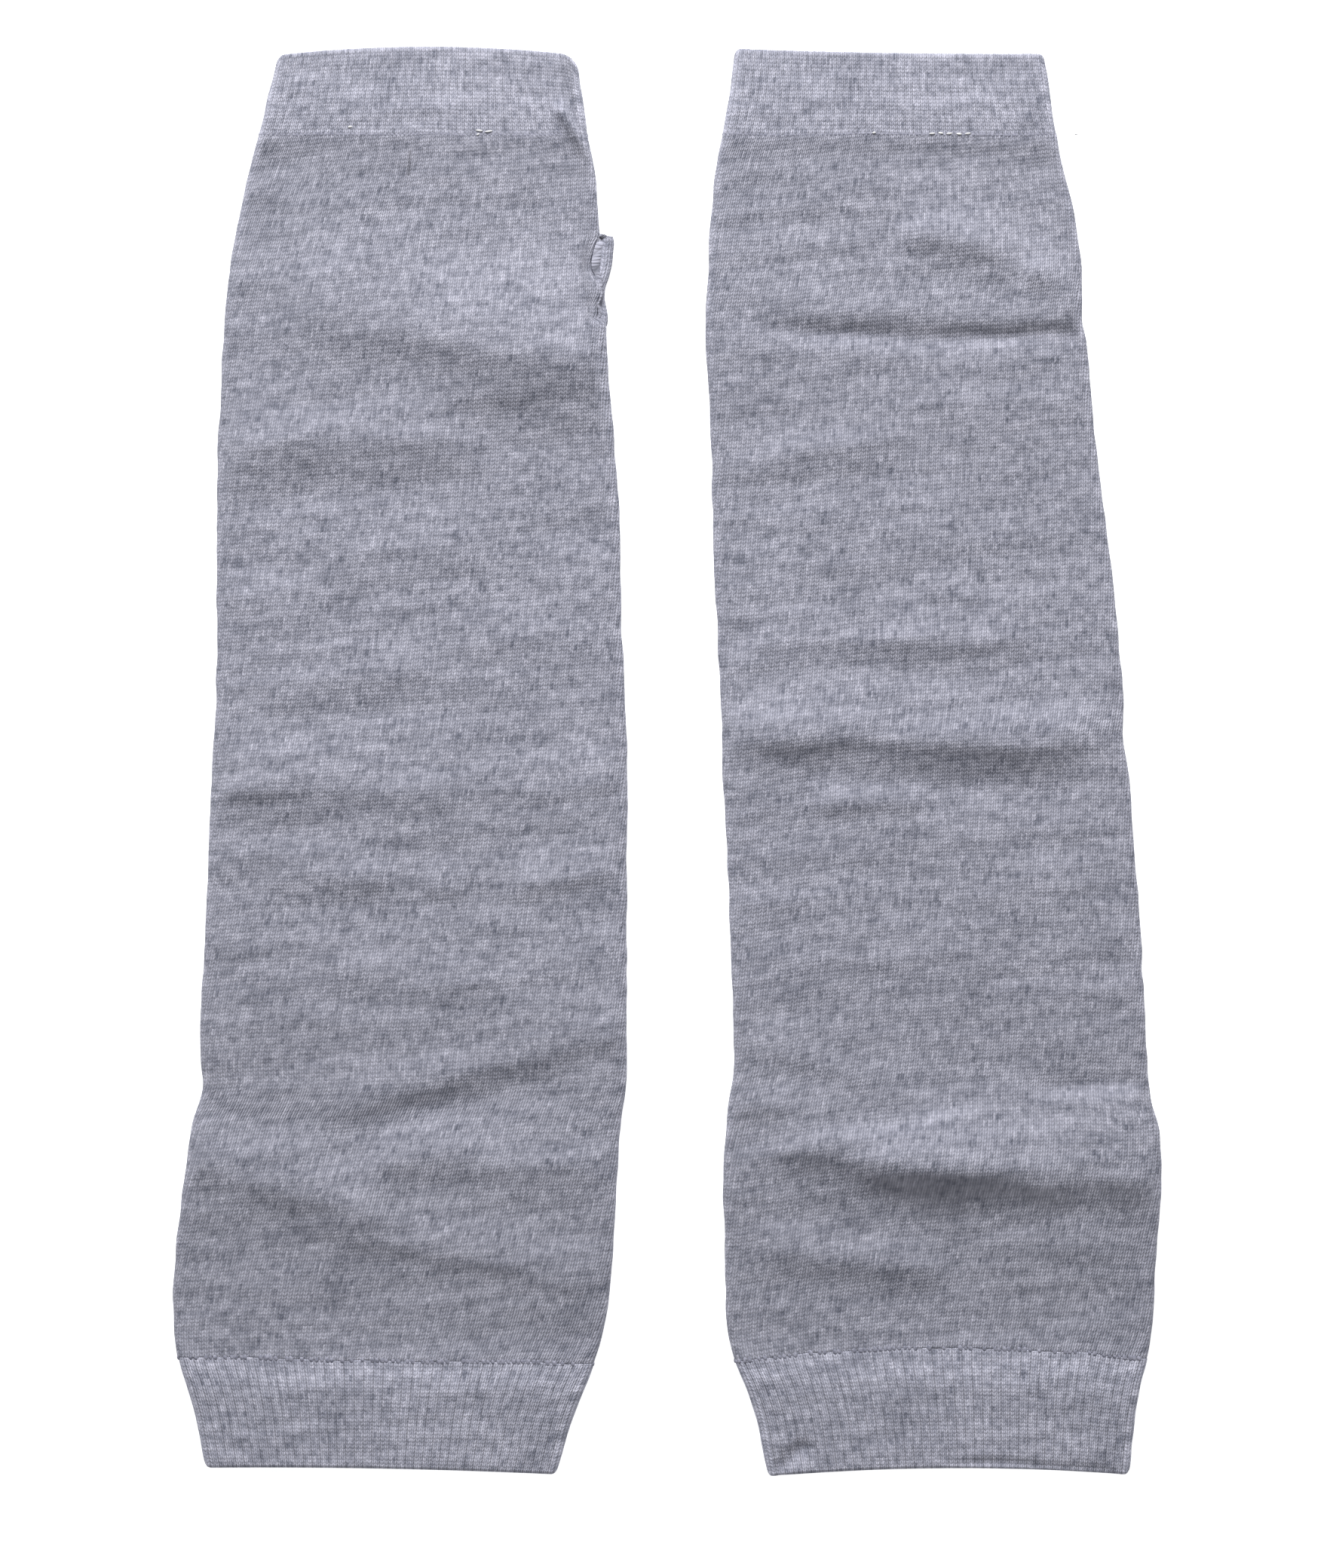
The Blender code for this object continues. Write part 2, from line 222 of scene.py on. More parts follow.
# Undyed stitches: x, y, length and turn of each
PALE = {
    "left": [
        (-44.9, 150.2, 1.8, -6), (-42.7, 150.0, 1.9, 9), (-45.2, 149.3, 0.8, 25), (-75.6, 151.1, 1.1, 10),
    ],
    "right": [
        (62.8, 149.5, 1.5, 4), (64.9, 149.6, 1.3, -8), (66.9, 149.5, 1.6, 6), (69.2, 149.4, 1.4, -5),
        (71.3, 149.5, 1.5, 8), (49.0, 149.7, 0.9, 10), (97.0, 149.3, 0.8, -12),
    ],
}


# ---------------------------------------------------------------- shader maths

class Wire:
    """A shader socket. Python's operators on wires and numbers add Math nodes."""

    def __init__(self, tree, socket=None):
        self.tree, self.socket = tree, socket

    def add(self, kind, settings=(), values=(), out=0):
        """Any node: its settings first, then its sockets' values or links."""
        made = self.tree.nodes.new(kind)
        for key, value in dict(settings).items():
            if key == "stops":
                ramp = made.color_ramp
                while len(ramp.elements) < len(value):
                    ramp.elements.new(1.0)
                for stop, (place, level) in zip(ramp.elements, value):
                    stop.position = place
                    stop.color = (level, level, level, 1.0)
            else:
                setattr(made, key, value)
        for key, value in dict(values).items():
            if isinstance(value, Wire):
                self.tree.links.new(value.socket, made.inputs[key])
            else:
                made.inputs[key].default_value = value
        return Wire(self.tree, made.outputs[out])

    def maths(self, operation, *values):
        return self.add("ShaderNodeMath", {"operation": operation}, enumerate(values))

    def __add__(self, other):
        return self.maths("ADD", self, other)

    __radd__ = __add__

    def __mul__(self, other):
        return self.maths("MULTIPLY", self, other)

    __rmul__ = __mul__

    def __sub__(self, other):
        return self.maths("SUBTRACT", self, other)

    def __rsub__(self, other):
        return self.maths("SUBTRACT", other, self)

    def __truediv__(self, other):
        return self.maths("DIVIDE", self, other)

    def __mod__(self, other):
        return self.maths("FLOORED_MODULO", self, other)

    def __pow__(self, other):
        return self.maths("POWER", self, other)

    def __abs__(self):
        return self.maths("ABSOLUTE", self)

    def floor(self):
        return self.maths("FLOOR", self)

    def ramp(self, *stops):
        return self.add("ShaderNodeValToRGB", {"stops": stops}, {"Fac": self})


def vector(x, y, z):
    return x.add("ShaderNodeCombineXYZ", (), {"X": x, "Y": y, "Z": z})


def cloud(place, scale, detail=2.0, roughness=0.5):
    """Smooth noise from 0 to 1 about 0.5."""
    values = {"Vector": place, "Scale": scale, "Detail": detail, "Roughness": roughness}
    return place.add("ShaderNodeTexNoise", {"noise_dimensions": "3D"}, values)


def matt(name):
    """A new material of matt yarn: itself, its nodes and its shader."""
    made = bpy.data.materials.new(name)
    made.use_nodes = True
    shader = made.node_tree.nodes["Principled BSDF"]
    shader.inputs["Roughness"].default_value = 0.95
    shader.inputs["Specular IOR Level"].default_value = 0.15
    return made, made.node_tree, shader


def knit(name, length, lean, helix, tones_and_shade, rib=0.0, wales=WALES, relief=0.3, mark=None):
    """Fine heathered jersey. length: of the piece along its wales, in mm; tones_and_shade: brightness over y,
    partly painted shade and light; rib: how strongly every second wale stands out, in bump and in painted
    shade;
    mark: x, low and high y, width and slant of a tight wale, in mm."""
    made, tree, shader = matt(name)
    start = Wire(tree)
    uv = start.add("ShaderNodeUVMap", {"uv_map": "UVMap"})
    split = uv.add("ShaderNodeSeparateXYZ", (), {"Vector": uv})
    around, along = split, Wire(tree, split.socket.node.outputs[1])
    wale = around * wales + along * lean
    course = along * round(length / COURSE) - around * helix

    # One stitch: two legs that lean out from the middle of its wale
    side = abs((wale % 1.0) * 2.0 - 1.0)
    leg = 1.0 - abs(side * 2.0 - 1.0) ** 2.0
    phase = (course - side * 0.6) % 1.0
    loop = 1.0 - abs(phase * 2.0 - 1.0) ** 2.5
    furrow = side ** 3.0
    stitch = leg * (loop * 0.55 + 0.45) * (1.0 - furrow * 0.5)
    ridge = 1.0 - abs((wale * 0.5 % 1.0) * 2.0 - 1.0) ** 1.6

    # Melange yarn: it runs round the tube, so its colour changes slowly round and quickly along
    turn = around * math.tau
    radius = TUBE_RADIUS * wales / WALES
    east, north = turn.maths("COSINE", turn) * radius, turn.maths("SINE", turn) * radius
    yarn = cloud(vector(east / 3.2, north / 3.2, course * 0.6), 1.0, 2.0, 0.6)
    broad = cloud(vector(east / 16.0, north / 16.0, course * (COURSE / 3.4)), 1.0, 2.0, 0.55)
    rank = cloud(vector(wale * 0.9, course * 0.22, 0.0), 1.0, 1.0, 0.5)
    half_wale, pair = (wale * 2.0).floor(), (course * 0.6).floor()
    cell = vector(half_wale % (wales * 2.0), pair, 0.0)
    chance = cell.add("ShaderNodeTexWhiteNoise", {"noise_dimensions": "2D"}, {"Vector": cell})
    speck = chance.ramp((0.0, 0.0), (0.07, 0.3), (0.5, 0.5), (0.9, 0.65), (1.0, 1.0))

    heather = (
        (yarn - 0.5) * 1.05
        + (speck - 0.5) * 0.62
        + (broad - 0.5) * 0.65
        + (rank - 0.5) * 0.6
        + 0.5
    )
    mix = {"data_type": "RGBA", "clamp_factor": True}
    colour = start.add("ShaderNodeMix", mix, {0: heather, 6: DARK_FIBRES, 7: PALE_FIBRES}, 2)

    place = start.add("ShaderNodeTexCoord", (), (), 3)
    level = place.add("ShaderNodeSeparateXYZ", (), {"Vector": place}, 1)
    # Brightness along the arm painted into the colour: partly painted shade and light, partly the yarn's own
    # tone
    low, high = tones_and_shade[0][0], tones_and_shade[-1][0]
    stops = [((y - low) / (high - low), tone_and_shade / 2.0) for y, tone_and_shade in tones_and_shade]
    tone_and_shade = ((level * (1 / MM) - low) / (high - low)).ramp(*stops) * 2.0
    # Painted shade of the knit's hollows: the colour darkens in the furrows between wales and where each
    # stitch's loop sinks
    dim = tone_and_shade * (stitch * 0.16 + 0.96) * (1.0 - furrow * 0.15)
    # Painted shade of the rib: the colour is lighter on its raised wales and darker in the hollows between
    # them
    if rib:
        ridge = ridge * (broad * 1.6 + 0.2)
        dim = dim * (ridge * 0.30 * rib + 1.0 - 0.18 * rib)
    shaded = colour.add("ShaderNodeVectorMath", {"operation": "SCALE"}, {0: colour, "Scale": dim})
    if mark:
        x, low_y, high_y, width, slant = mark
        spot = [Wire(tree, level.socket.node.outputs[i]) * (1 / MM) for i in (0, 1, 2)]
        off = abs(spot[0] - x - (spot[1] - low_y) * slant) / width
        inside = spot[1].maths("COMPARE", spot[1], (low_y + high_y) / 2, (high_y - low_y) / 2)
        dark = inside * (1.0 - off).maths("MAXIMUM", 1.0 - off, 0.0)
        dim = 1.0 - dark * TIGHT_WALE_DARK
        shaded = shaded.add("ShaderNodeVectorMath", {"operation": "SCALE"}, {0: shaded, "Scale": dim})
    tree.links.new(shaded.socket, shader.inputs["Base Color"])

    hair = cloud(vector(east / 0.7, north / 0.7, course * 1.4), 1.0, 2.0, 0.6)
    height = stitch * 0.75 + hair * 0.5 + yarn * 0.3
    if rib:
        height = height + ridge * (1.1 * rib)
    bump = height.add("ShaderNodeBump", (), {"Height": height, "Distance": relief * MM, "Strength": 1.0})
    tree.links.new(bump.socket, shader.inputs["Normal"])
    shader.inputs["Sheen Weight"].default_value = 0.12
    shader.inputs["Sheen Roughness"].default_value = 0.6
    shader.inputs["Sheen Tint"].default_value = (0.80, 0.82, 0.92, 1.0)
    return made


# ---------------------------------------------------------------- reading the solids

def points_of(node):
    """A CAD node's vertices, in mm."""
    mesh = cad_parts[node].data
    flat = np.empty(len(mesh.vertices) * 3)
    mesh.vertices.foreach_get("co", flat)
    return flat.reshape(-1, 3) / MM


def side_line(side, sign):
    """A warmer's side fold from arm end to hand end: rows of y and the outermost x there."""
    outer = {}
    for part, height in CAD_HEIGHTS.items():
        cloth = points_of(f"{side}_{part}")
        for x, y, z in cloth[abs(cloth[:, 2] - height / 2) < 0.05]:
            spot = round(y / 1.5)
            outer[spot] = max(outer.get(spot, (-1e9, 0.0)), (x * sign, y))
    middle = np.median([x for x, y in outer.values()])
    spots = sorted((y, x * sign) for x, y in outer.values() if x > middle - 25)
    line = spots[:1]
    for spot in spots[1:]:
        if spot[0] - line[-1][0] > 2.2:
            line.append(spot)
    return np.array(line).T


def end_line(node, sign):
    """The y of a node's end, towards the hand for sign 1, at each x."""
    cloth = points_of(node)
    cloth = cloth[(cloth[:, 1] * sign > (cloth[:, 1] * sign).max() - 4.6) & (cloth[:, 2] > 2.9)]
    return cloth[np.argsort(cloth[:, 0])][:, :2].T


def along_curve(line, where):
    """A smooth curve through a line's points, read anywhere."""
    xs, ys = line
    slopes = np.gradient(ys, xs)
    i = np.clip(np.searchsorted(xs, where) - 1, 0, len(xs) - 2)
    span = xs[i + 1] - xs[i]
    t = np.clip((where - xs[i]) / span, 0.0, 1.0)
    return (
        (2 * t**3 - 3 * t**2 + 1) * ys[i]
        + (t**3 - 2 * t**2 + t) * span * slopes[i]
        + (3 * t**2 - 2 * t**3) * ys[i + 1]
        + (t**3 - t**2) * span * slopes[i + 1]
    )


def smooth(t):
    t = np.clip(t, 0.0, 1.0)
    return t * t * (3 - 2 * t)


def waves(xs, ys, wide, tall, seed):
    """Even-tempered noise at each place, about -1 to 1. wide, tall: size of its patches in mm."""
    return np.array([noise.noise((x / wide, y / tall, seed)) for x, y in zip(xs, ys)])


def creased(creases, xs, ys):
    """How far the creases lift the cloth at each place, in mm."""
    lift = np.zeros(len(xs))
    for i, crease in enumerate(creases):
        turn = math.radians(crease.slope)
        right, up = xs - crease.x, ys - crease.y
        along = right * math.cos(turn) + up * math.sin(turn)
        past = up * math.cos(turn) - right * math.sin(turn)
        past = past + 0.7 * np.sin(along / 11.0 + 2.1 * i) + 0.2 * np.sin(along / 4.1 + 3.7 * i)
        ends = smooth(2.4 - abs(along) * 4.8 / crease.length) * (1 + 0.15 * np.sin(along / 9.3 + 1.3 * i))
        ahead = np.exp(-((np.maximum(past, 0) / crease.ahead) ** 2))
        behind = np.exp(-((np.maximum(-past, 0) / crease.behind) ** SHARPNESS))
        lift += crease.height * ends * ahead * behind
    return lift


# ---------------------------------------------------------------- making cloth

def deselect():
    if bpy.context.object and bpy.context.object.mode != "OBJECT":
        bpy.ops.object.mode_set(mode="OBJECT")
    bpy.ops.object.select_all(action="DESELECT")


def select_only(piece):
    deselect()
    piece.select_set(True)
    bpy.context.view_layer.objects.active = piece


def joined(pieces, name):
    """Several objects made one."""
    deselect()
    for piece in pieces:
        piece.select_set(True)
    bpy.context.view_layer.objects.active = pieces[0]
    bpy.ops.object.join()
    row = bpy.context.object
    row.name = row.data.name = name
    return row


def finish_modifier(piece, kind, **settings):
    made = piece.modifiers.new(kind.title(), kind)
    for key, value in settings.items():
        setattr(made, key, value)
    bpy.context.view_layer.objects.active = piece
    bpy.ops.object.modifier_apply(modifier=made.name)


def edited_shape():
    """The bmesh that is being edited."""
    return bmesh.from_edit_mesh(bpy.context.edit_object.data)


def edit(piece, chosen, action, kind="VERT"):
    """Runs an edit-mode action on the vertices, edges or faces that a test of their middle picks."""
    select_only(piece)
    bpy.ops.object.mode_set(mode="EDIT")
    bpy.ops.mesh.select_mode(type=kind)
    bpy.ops.mesh.select_all(action="DESELECT")
    shape = bmesh.from_edit_mesh(piece.data)
    parts = {"VERT": shape.verts, "EDGE": shape.edges, "FACE": shape.faces}[kind]
    for item in parts:
        item.select_set(bool(chosen(item)))
    bmesh.update_edit_mesh(piece.data)
    action()
    bpy.ops.object.mode_set(mode="OBJECT")


def grid(name, columns, rows):
    """A flat grid of cloth with its UV map, which is then rolled or bent into place."""
    deselect()
    bpy.ops.mesh.primitive_grid_add(x_subdivisions=columns, y_subdivisions=rows, size=1.0, calc_uvs=True)
    piece = bpy.context.object
    piece.name = piece.data.name = name
    return piece


def place_grid(piece, columns, us, vs, spots):
    """Moves a grid's vertices to spots in mm, and sets its UV from the columns' and rows' shares."""
    mesh = piece.data
    mesh.vertices.foreach_set("co", (spots * MM).ravel())
    index = np.empty(len(mesh.loops), dtype=int)
    mesh.loops.foreach_get("vertex_index", index)
    layer = np.stack([us[index % (columns + 1)], vs[index // (columns + 1)]], axis=1)
    mesh.uv_layers[0].data.foreach_set("uv", layer.ravel())
    mesh.update()


def outline():
    """Round a laid-flat tube from the middle of its lower panel: share of the flat, and turn of the fold."""
    low = np.linspace(0, 1, BOTTOM_CELLS // 2 + 1)
    top = np.linspace(-1, 1, TOP_CELLS + 1)
    turns = np.linspace(0, math.pi, ROUND_CELLS + 1)
    flats = [(-a, math.pi) for a in low]
    flats += [(-1.0, math.pi + t) for t in turns[1:]]
    flats += [(a, 0.0) for a in top[1:]]
    flats += [(1.0, t) for t in turns[1:]]
    flats += [(1.0 - a, math.pi) for a in low[1:]]
    return np.array(flats).T


def row_shares(length, rounds):
    """Shares of a tube's length for its rows: even, and closer where its two ends are rounded."""
    rows = round(length / (ROW_LENGTH if length > 60 else WELT_ROW_LENGTH))
    even = np.linspace(0, 1, rows + 1)[1:-1]
    low, high = (radius * np.array([0.0, 0.12, 0.35, 0.66, 1.0]) / length for radius in rounds)
    even = even[(even > low[-1] * 1.3) & (even < 1 - high[-1] * 1.3)]
    return np.concatenate([low, even, 1 - high[::-1]])


def add_relief(spots, share, turn, start, end, middle, creases, seed):
    """Lifts a flat tube's cloth into its creases, tucks and ripples. start, end: y of its ends."""
    x, y = spots[:, 0], spots[:, 1]
    tilt = math.radians(STREAK_TILT)
    p, q = x * math.cos(tilt) + y * math.sin(tilt), y * math.cos(tilt) - x * math.sin(tilt)
    upper = smooth((np.cos(turn) + 0.2) * 1.2) * smooth((1.0 - abs(share)) * 22 + 0.25)
    joins = smooth(np.minimum(y - start, end - y) / CREASE_FADE)
    wobble = waves(y * 0 + np.sign(share) * 3, y, 1.0, 5.5, seed) * 0.3
    spots[:, 0] += np.sin(turn) * wobble
    fine = 0.17 * waves(p, q, 16, 2.6, seed + 3.3) + 0.10 * waves(p, q, 6, 2.2, seed + 7.7)
    lift = fine * (0.4 + 0.6 * joins) + creased(TUCKS, x, y)
    if creases:
        lift += joins * (creased(creases, x, y) + 0.40 * waves(p, q, 30, 7, seed + 5.1))
        gather = smooth(1 - (y - start) / 9)
        lift += gather * 0.30 * waves(x, y, 1.9, 7, seed + 9.3)
    spots[:, 2] += upper * np.maximum(lift, DEEPEST)
    under = smooth(-np.cos(turn))
    hidden = 0.12 + 0.12 * waves(x, y, 14, 9, seed + 11.0)
    if creases:
        below = [crease._replace(y=crease.y + HIDDEN_SHIFT, slope=-crease.slope) for crease in creases]
        hidden += joins * np.clip(HIDDEN_SHARE * creased(below, 2 * middle - x, y), 0.0, HIDDEN_LIMIT)
    spots[:, 2] += under * hidden


def tube(side, part, heights, rounds, corners, first, last, creases, seed, slit=None):
    """A laid-flat tube from its arm side to its hand side.

    heights: at the arm side, in the middle and at the hand side; rounds: radii of the ends' outer
    corners; corners: radii of a hem's left and right corner, and 1 where the hem is at the hand side, -1 at
    the arm side, 0 for none; first, last: the end lines, in mm; slit: the y of an open side slit's ends,
    and the side fold's x there.
    """
    share, turn = outline()
    columns = len(share) - 1
    length = last[1].mean() - first[1].mean()
    vs = row_shares(length, rounds)
    rows = len(vs) - 1
    piece = grid(f"{side}_{part}", columns, rows)
    left, right = side_line(side, -1), side_line(side, 1)
    spots = []
    for v in vs:
        from_end = min(v, 1 - v) * length
        near = heights[0] if v < 0.5 else heights[2]
        height = heights[1] + (near - heights[1]) * float(smooth(1 - from_end / 7))
        end_round = rounds[0] if v < 0.5 else rounds[1]
        inside = max(end_round - from_end, 0.0)
        inset = end_round - math.sqrt(end_round**2 - inside**2)
        radius = height / 2
        y = np.full(columns + 1, first[1].mean() * (1 - v) + last[1].mean() * v)
        for repeat in range(2):
            edges = along_curve(left, y), along_curve(right, y)
            centre, half = (edges[0] + edges[1]) / 2, (edges[1] - edges[0]) / 2 - radius
            x = centre + half * share + (radius - inset) * np.sin(turn)
            y = np.interp(x, *first) * (1 - v) + np.interp(x, *last) * v
        hem_share = smooth(np.array((1 - v if corners[2] < 0 else v) * 1.6 - 0.6))
        for radius_there, past in zip(corners, (x - edges[0], edges[1] - x)):
            cut = np.clip(radius_there - past, 0.0, radius_there)
            y = y - corners[2] * hem_share * (radius_there - np.sqrt(radius_there**2 - cut**2))
        spots.append(np.stack([x, y, radius + (radius - inset) * np.cos(turn)], axis=1))
    spots = np.concatenate(spots)
    share, turn = np.tile(share, rows + 1), np.tile(turn, rows + 1)
    add_relief(spots, share, turn, first[1].mean(), last[1].mean(), centre.mean(), creases, seed)
    if slit:
        part_lips(spots, share, turn, *slit)
    steps = np.hypot(np.diff(spots[: columns + 1, 0]), np.diff(spots[: columns + 1, 2]))
    us = np.concatenate([[0.0], np.cumsum(steps)]) / steps.sum()
    place_grid(piece, columns, us, vs, spots)
    edit(piece, lambda v: True, lambda: bpy.ops.mesh.remove_doubles(threshold=MERGE * MM))
    return piece, length


def dress(piece, material, node):
    piece.data.materials.clear()
    piece.data.materials.append(material)
    select_only(piece)
    bpy.ops.object.shade_smooth()
    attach(piece, "root")
    if node:
        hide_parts(node)


def level_line(line, shift):
    """An end line moved along the arm."""
    return np.array([line[0], line[1] + shift])


def uneven(line, seed):
    """A join's line with the small wander of hand-guided linking."""
    xs = np.arange(line[0].min(), line[0].max(), 1.0)
    ys = np.interp(xs, *line)
    return np.array([xs, ys + 0.3 * waves(xs, ys * 0, 9, 1, seed)])


def join_row(side, name, line, linking, seed):
    """The stitches that link a welt to its body, one for each wale round the tube, less a share that is left
    out.
    """
    share, turn = outline()
    left, right = side_line(side, -1), side_line(side, 1)
    size, radius = linking.size, JOIN_HEIGHT / 2 - linking.sunk
    level = line[1].mean()
    y = np.full(len(share), level)
    for repeat in range(2):
        edges = along_curve(left, y), along_curve(right, y)
        half = (edges[1] - edges[0]) / 2 - JOIN_HEIGHT / 2
        x = (edges[0] + edges[1]) / 2 + half * share + radius * np.sin(turn)
        y = np.interp(x, *line)
    z = np.maximum(JOIN_HEIGHT / 2 + radius * np.cos(turn), size[2] + 0.02)
    run = np.concatenate([[0.0], np.cumsum(np.hypot(np.diff(x), np.diff(z)))])
    chance = random.Random(seed)
    deselect()
    bpy.ops.mesh.primitive_uv_sphere_add(segments=8, ring_count=6, radius=1.0, calc_uvs=True)
    first = bpy.context.object
    made = []
    for i in range(WALES):
        at = run[-1] * (i + 0.5 + chance.uniform(-0.2, 0.2)) / WALES
        scale = chance.uniform(0.85, 1.2)
        lean = math.radians(chance.uniform(10, 32))
        if chance.random() < linking.skipped:
            continue
        spot = [np.interp(at, run, axis) * MM for axis in (x, y, z)]
        around = np.interp(at, run, turn)
        copy = first.copy()
        copy.data = first.data.copy()
        bpy.context.scene.collection.objects.link(copy)
        shape = Matrix.Diagonal((size[0] * scale * MM, size[1] * scale * MM, size[2] * MM, 1.0))
        copy.data.transform(
            Matrix.Translation(spot) @ Matrix.Rotation(around, 4, "Y") @ Matrix.Rotation(lean, 4, "Z") @ shape
        )
        made.append(copy)
    bpy.data.objects.remove(first)
    return joined(made, f"{side}_{name}")


def welt(side, part, hem, join, seed):
    """A turned welt: a wall of two plies with a rounded hem."""
    hand = part == "hand_welt"
    first, last = (join, hem) if hand else (hem, join)
    heights = (JOIN_HEIGHT, WELT_HEIGHT, WELT_HEIGHT) if hand else (WELT_HEIGHT, WELT_HEIGHT, JOIN_HEIGHT)
    rounds = (HAND_ROUND, HEM_ROUND) if hand else (HEM_ROUND, ARM_ROUND)
    corners = (*HEM_CORNERS[side, part], 1 if hand else -1)
    piece, length = tube(side, part + "_cloth", heights, rounds, corners, first, last, None, seed)
    finish_modifier(piece, "SOLIDIFY", thickness=WELT_PLY * MM, offset=-1.0, use_rim=True)
    return piece, length


def yarn(name, dark, pale):
    """Plied yarn of single stitches: its shades twist together."""
    made, tree, shader = matt(name)
    place = Wire(tree).add("ShaderNodeTexCoord", (), (), 3)
    twist = cloud(place, 1400.0, 2.0, 0.6).ramp((0.3, 0.0), (0.7, 1.0))
    shades = {0: twist, 6: (*dark, 1.0), 7: (*pale, 1.0)}
    colour = twist.add("ShaderNodeMix", {"data_type": "RGBA"}, shades, 2)
    tree.links.new(colour.socket, shader.inputs["Base Color"])
    return made


def slit_line(side):
    """The right side fold between the thumb slit's ends, which the band's solid gives: y and x."""
    low, high = (corner / MM for corner in map(np.array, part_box(f"{side}_thumb_band")))
    ends = np.array([low[1], high[1]])
    return ends, along_curve(side_line(side, 1), ends)


def lip_reach(down):
    """How far the upper and the lower lip reach past the side fold, at shares of the slit's length."""
    table = np.array(LIPS).T
    return [along_curve((table[0], column), down) for column in table[1:]]


def part_lips(spots, share, turn, ys, folds):
    """Draws the cloth by the side fold to the slit's two lips."""
    radius = BODY_HEIGHT / 2
    cut = math.pi * (ROUND_CELLS // 2) / ROUND_CELLS
    y = spots[:, 1]
    fold = np.interp(y, ys, folds)
    edge = fold - radius + radius * math.sin(cut)
    inside = smooth(np.minimum(y - ys[0], ys[1] - y) / 1.4)
    reaches = lip_reach(np.clip((ys[1] - y) / (ys[1] - ys[0]), 0.0, 1.0))
    for reach, shy, level, angle, power in (
        (reaches[0], 0.1, 2.9, turn, 2),
        (reaches[1], 1.0, 0.3, math.pi - turn, 0),
    ):
        half = (share > 0) & (angle < cut + 0.01)
        pull = inside * half * smooth(1 - (edge - spots[:, 0]) / LIP_PULL)
        spots[:, 0] += pull * (fold + reach - shy - edge)
        spots[:, 2] += pull * (level - spots[:, 2]) * (angle / cut) ** power


def open_side(body, ys):
    """Opens the left body's right side fold between the slit's ends, along its wales."""
    layer_name = body.data.uv_layers[0].name

    def inside(face):
        if not ys[0] + 0.3 < face.calc_center_median().y / MM < ys[1] - 0.3:
            return False
        layer = edited_shape().loops.layers.uv[layer_name]
        share = sum(loop[layer].uv.x for loop in face.loops) / len(face.loops)
        return abs(share - 0.75) < 0.001

    edit(body, inside, lambda: bpy.ops.mesh.delete(type="FACE"), "FACE")


def open_under(body, x, y, length):
    """Opens the right body's lower panel round the middle of its hidden slit."""
    def inside(face):
        spot = face.calc_center_median() / MM
        low = spot.z < BODY_HEIGHT / 2
        return low and abs(spot.x - x) < HIDDEN_SLIT / 2 and abs(spot.y - y) < length / 2

    edit(body, inside, lambda: bpy.ops.mesh.delete(type="FACE"), "FACE")


def ring_of_cloth(name, sections):
    """A narrow band that closes on itself, through its section at each place round it."""
    rows, columns = len(sections) - 1, len(sections[0]) - 1
    piece = grid(name, columns, rows)
    us, vs = np.linspace(0, 1, columns + 1), np.linspace(0, 1, rows + 1)
    place_grid(piece, columns, us, vs, np.concatenate(sections))
    edit(piece, lambda v: True, lambda: bpy.ops.mesh.remove_doubles(threshold=MERGE * MM))
    finish_modifier(piece, "SOLIDIFY", thickness=BAND_PLY * MM, offset=-1.0, use_rim=True)
    finish_modifier(piece, "SUBSURF", levels=1, render_levels=1)
    return piece


def side_band(side, ys, folds):
    """The band that finishes the open slit, round its lower and its upper lip."""
    runs = np.linspace(0, 1, 49)
    turns = smooth(np.linspace(0, 1, 9))[1:-1]
    down = np.concatenate([1 - runs, 0 * turns, runs, 0 * turns + 1, [1.0]])
    upper = np.concatenate([0 * runs, turns, 0 * runs + 1, 1 - turns, [0.0]])
    y = ys[1] + 0.1 - down * (ys[1] - ys[0] + 0.2)
    reaches = lip_reach(down)
    lip = np.interp(y, ys, folds) + upper * reaches[0] + (1 - upper) * reaches[1]
    high, low = np.array(UPPER_BAND), np.array(LOWER_BAND)
    sections = []
    for i in range(len(down)):
        section = upper[i] * high + (1 - upper[i]) * low
        x = lip[i] + section[:, 0]
        sections.append(np.stack([x, np.full(len(x), y[i]), section[:, 1]], axis=1))
    return ring_of_cloth(f"{side}_thumb_band_cloth", sections)


def under_band(side, x, y, length, width):
    """The same band round the right warmer's slit, flat in its lower panel."""
    sections = []
    for turn in np.linspace(math.tau, 0, 73):
        out, up = math.cos(turn), math.sin(turn)
        section = []
        for reach, z in FLAT_BAND:
            across = (width / 2 - FLAT_INSET - reach) * math.copysign(abs(up) ** 0.6, up)
            along = (length / 2 - FLAT_INSET - reach) * math.copysign(abs(out) ** 0.8, out)
            section.append((x + across, y + along, z))
        sections.append(np.array(section))
    return ring_of_cloth(f"{side}_thumb_band_cloth", sections)


def pale_stitches(name, spots, seed):
    """Undyed stitches that show on a join: short thick loops at spots x, y, length and turn."""
    chance = random.Random(seed)
    made = []
    for x, y, length, turn in spots:
        deselect()
        bpy.ops.mesh.primitive_uv_sphere_add(segments=10, ring_count=8, radius=1.0)
        stitch = bpy.context.object
        size = Matrix.Diagonal((length / 2 * MM, 0.24 * MM, 0.2 * MM, 1.0))
        place = Vector((x, y, JOIN_HEIGHT + 0.12 + chance.uniform(-0.05, 0.05))) * MM
        stitch.data.transform(Matrix.Translation(place) @ Matrix.Rotation(math.radians(turn), 4, "Z") @ size)
        made.append(stitch)
    return joined(made, name)


